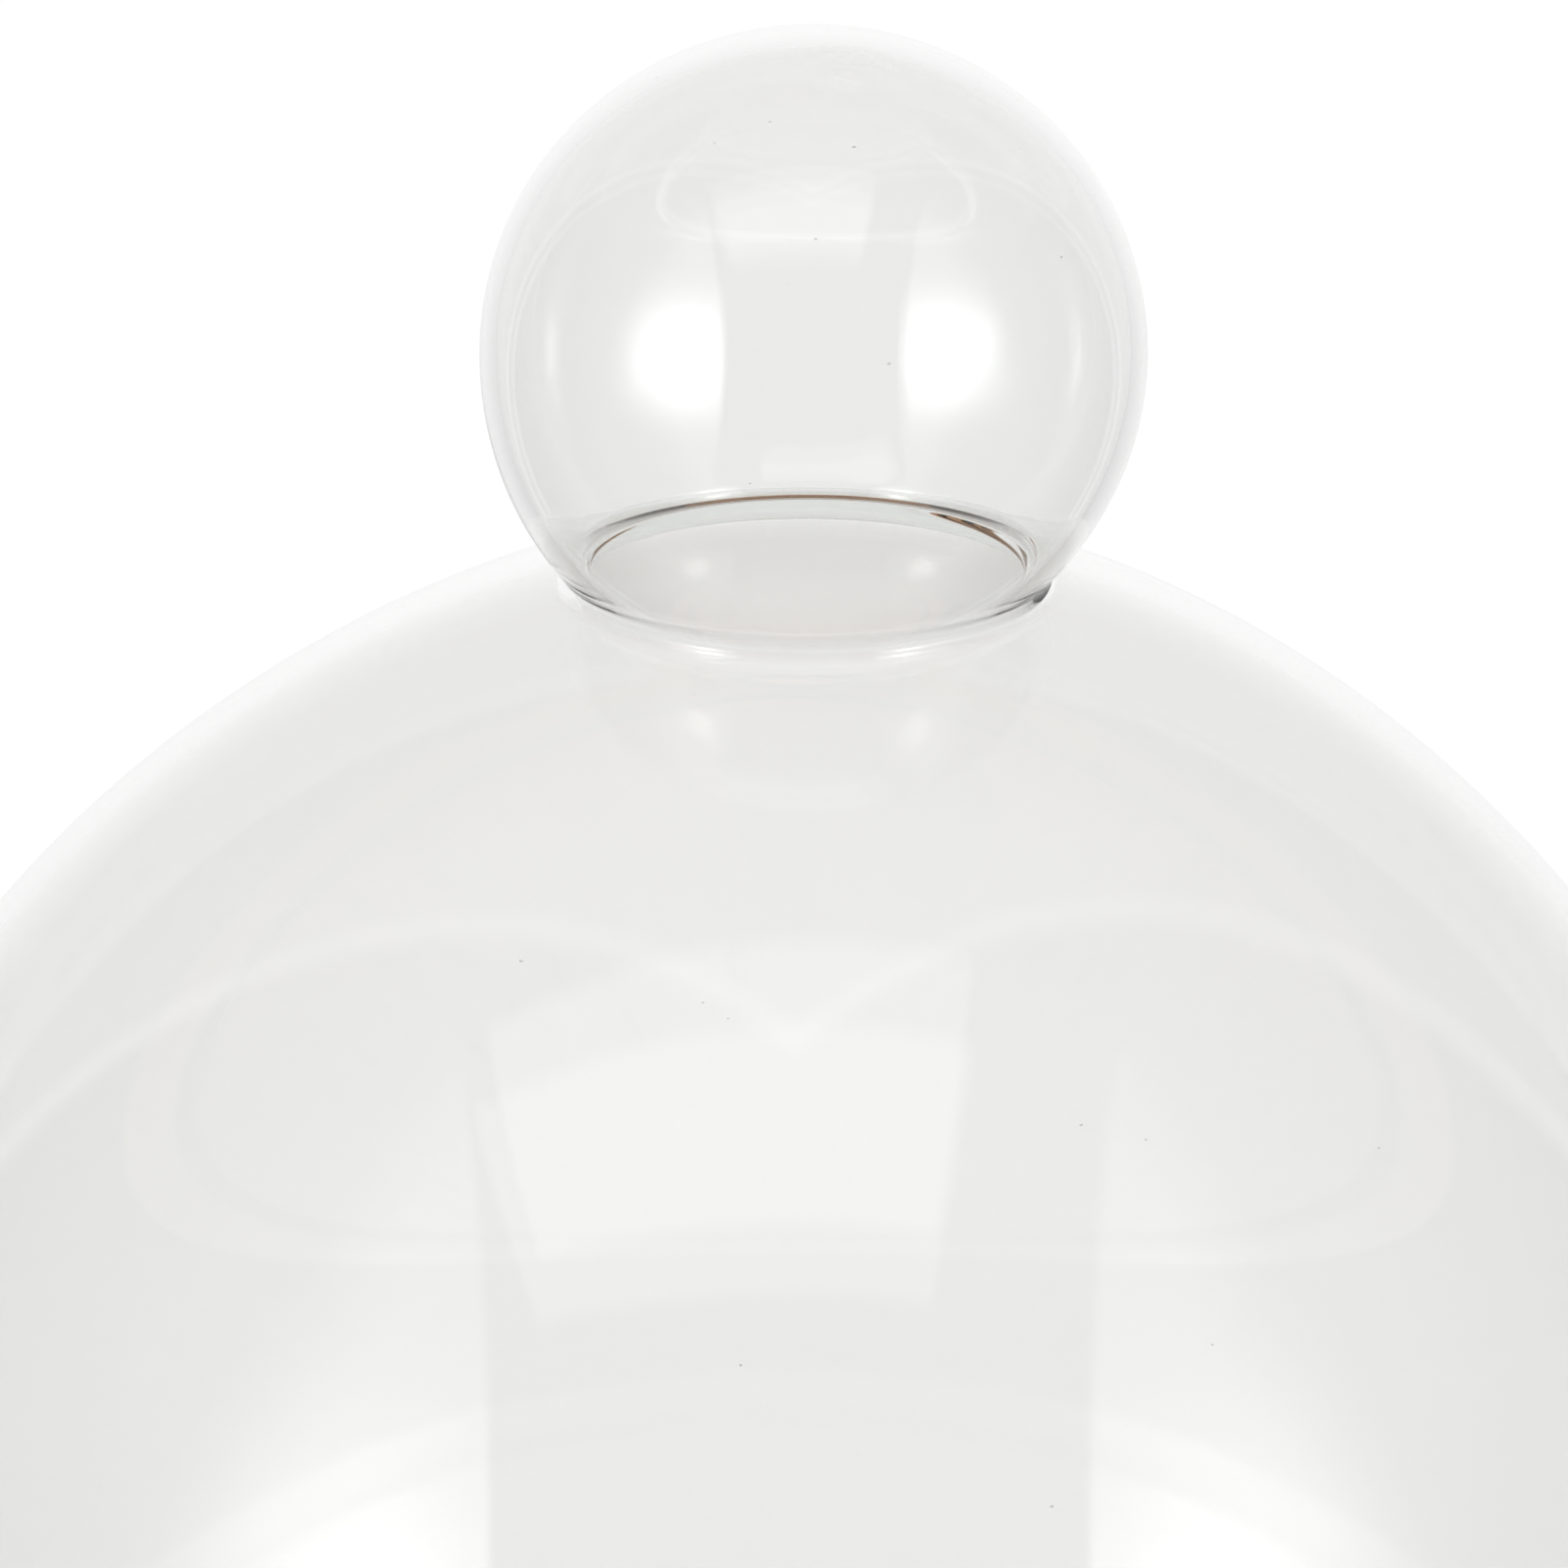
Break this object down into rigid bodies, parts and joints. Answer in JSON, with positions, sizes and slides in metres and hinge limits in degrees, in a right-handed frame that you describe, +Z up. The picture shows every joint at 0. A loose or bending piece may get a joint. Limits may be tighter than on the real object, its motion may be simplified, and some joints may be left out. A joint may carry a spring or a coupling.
{
  "type": "display bell jar",
  "caption": "Clear blown-glass display dome with a hollow glass ball knob, lifting off a turned wooden base with a felt-lined groove.",
  "frame": {"origin": "on the surface the foot pads rest on, under the middle of the base", "axes": "+Z up along the axis of the dome and base; the knob's seal is off the axis, towards +X -Y"},
  "size_m": [0.272, 0.272, 0.3213],
  "materials": {
    "clear_glass": "clear blown glass, fire-polished, faint seeds and waves",
    "thick_glass": "clear glass ring where ball and shoulder are melted together",
    "ball_glass": "clear blown glass, glossy, a few seeds near the top",
    "seal_glass": "clear glass with a swirl where the blowing hole was closed",
    "turned_wood": "turned hardwood, brown stain, thin wax coat",
    "wool_felt": "dense wool felt, dark grey with light flecks",
    "pad_rubber": "matt moulded rubber"
  },
  "bodies": {
    "base": {"base_plinth": "turned_wood", "groove_felt": "wool_felt", "foot_pad_1": "pad_rubber", "foot_pad_2": "pad_rubber", "foot_pad_3": "pad_rubber", "foot_pad_4": "pad_rubber"},
    "dome": {"bell_wall": "clear_glass", "neck_collar": "thick_glass", "ball_knob": "ball_glass", "seal_button": "seal_glass"}
  },
  "joints": [
    {"name": "dome_lift", "type": "slide", "parent": "base", "child": "dome", "axis": [0, 0, 1], "range_m": [0, 0.3]}
  ]
}
